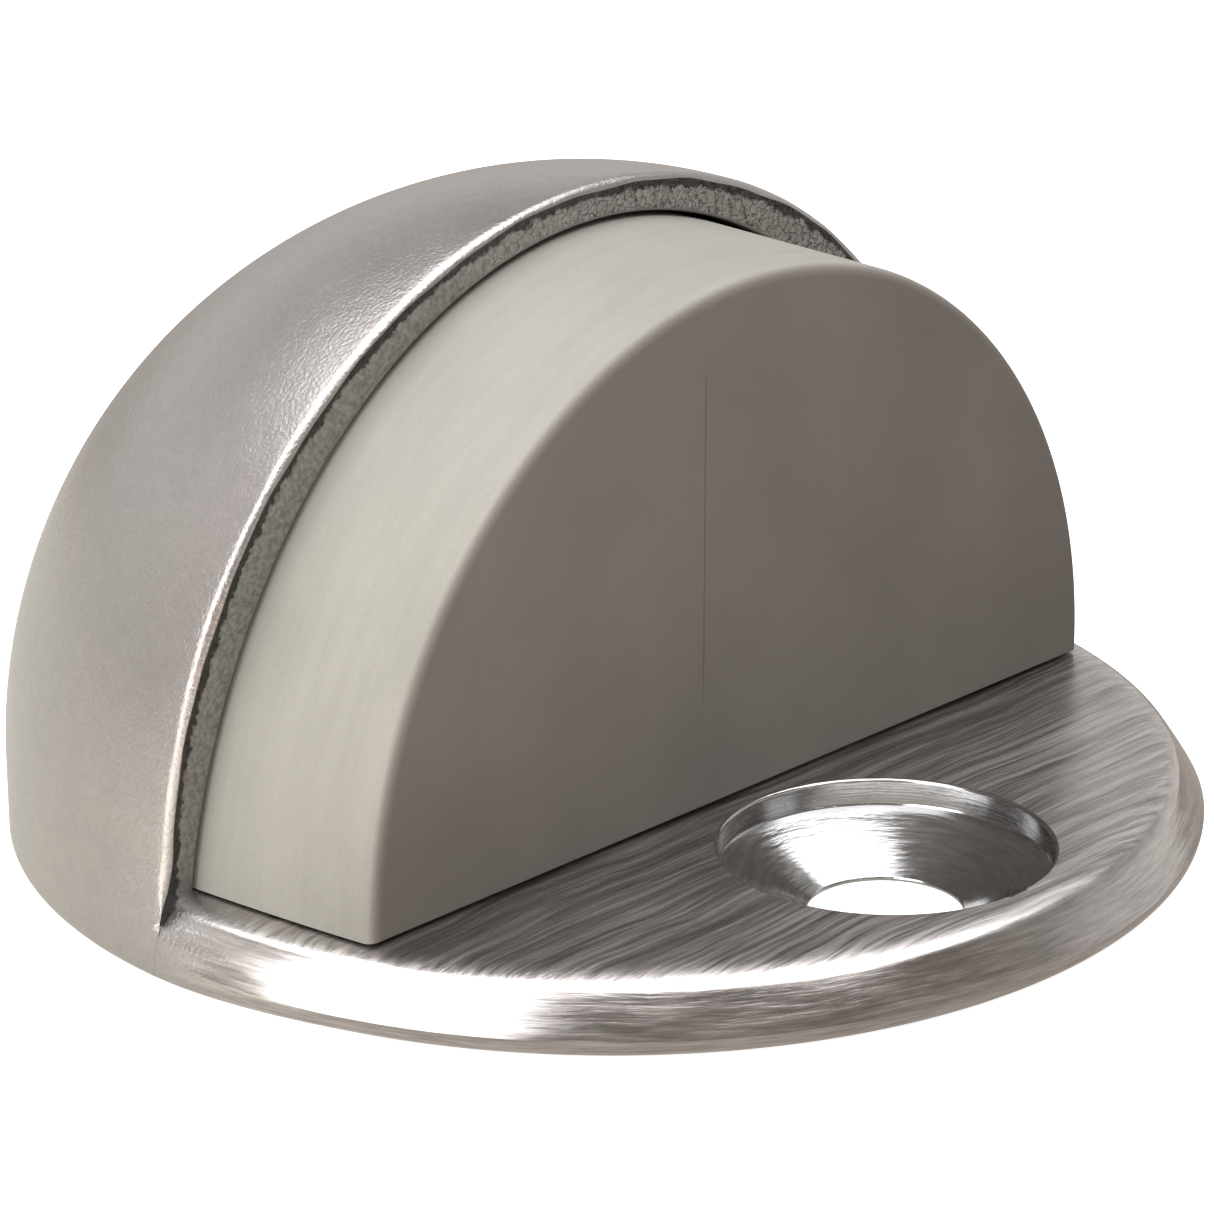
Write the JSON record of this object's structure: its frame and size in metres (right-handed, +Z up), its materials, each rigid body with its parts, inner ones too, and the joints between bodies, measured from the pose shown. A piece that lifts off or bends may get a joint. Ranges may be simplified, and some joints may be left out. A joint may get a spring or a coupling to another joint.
{
  "type": "floor door stop",
  "caption": "Low dome floor door stop: cast quarter-dome hood on a round base, D-shaped rubber bumper in its open front and a countersunk screw hole in the flange.",
  "frame": {"origin": "on the floor plane, at the middle of the round base", "axes": "+Z up from the floor, -Y out of the bumper face towards the door, X along the width of the bumper"},
  "size_m": [0.0468, 0.0473, 0.0254],
  "materials": {
    "satin_nickel": "brushed satin nickel plate, bright edge and countersink",
    "grey_rubber": "matt moulded warm grey rubber",
    "insert_brass": "turned brass",
    "zinc_steel": "bright zinc-plated steel"
  },
  "bodies": {
    "root": {"Cast_hood_and_base": "satin_nickel", "Rubber_bumper": "grey_rubber", "Moulded_in_insert": "insert_brass", "Bumper_retaining_screw": "zinc_steel"}
  },
  "joints": []
}
